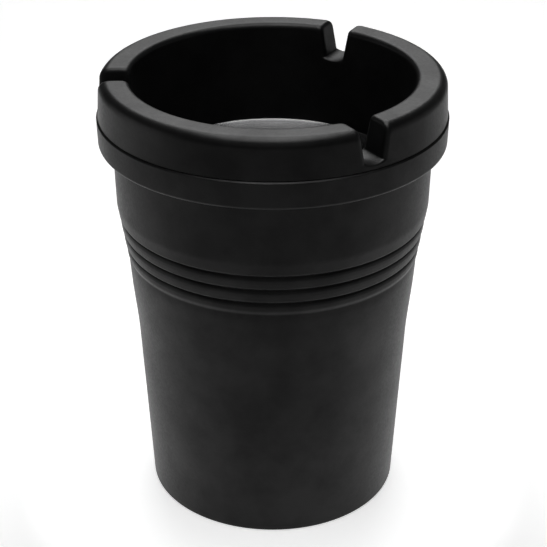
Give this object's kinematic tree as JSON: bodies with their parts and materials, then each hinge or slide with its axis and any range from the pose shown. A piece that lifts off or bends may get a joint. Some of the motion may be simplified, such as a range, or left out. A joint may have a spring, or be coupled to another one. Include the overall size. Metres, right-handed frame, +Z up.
{
  "type": "cup-holder ashtray",
  "caption": "Tapered round ashtray bucket for a cup holder, with a plug-in rest ring, notched cigarette rests and a loose steel snuffer dish with a drop hole.",
  "frame": {"origin": "centre of the base circle, on the plane of the foot ring", "axes": "+Z up along the bucket's axis to the rest ring; the pictured front faces -Y; +X is to the right seen from the front"},
  "size_m": [0.083, 0.083, 0.109],
  "materials": {
    "bucket_black": "satin black moulded plastic with a fine grain",
    "ring_black": "satin black moulded plastic, slightly smoother on the outer wall",
    "dish_steel": "spun steel with fine concentric marks"
  },
  "bodies": {
    "bucket": {"bucket": "bucket_black"},
    "rest_ring": {"rest_ring": "ring_black"},
    "snuffer_dish": {"snuffer_dish": "dish_steel"}
  },
  "joints": [
    {"name": "ring_lift", "type": "slide", "parent": "bucket", "child": "rest_ring", "axis": [0, 0, 1], "range_m": [0, 0.04]},
    {"name": "dish_lift", "type": "slide", "parent": "rest_ring", "child": "snuffer_dish", "axis": [0, 0, 1], "range_m": [0, 0.04]}
  ]
}
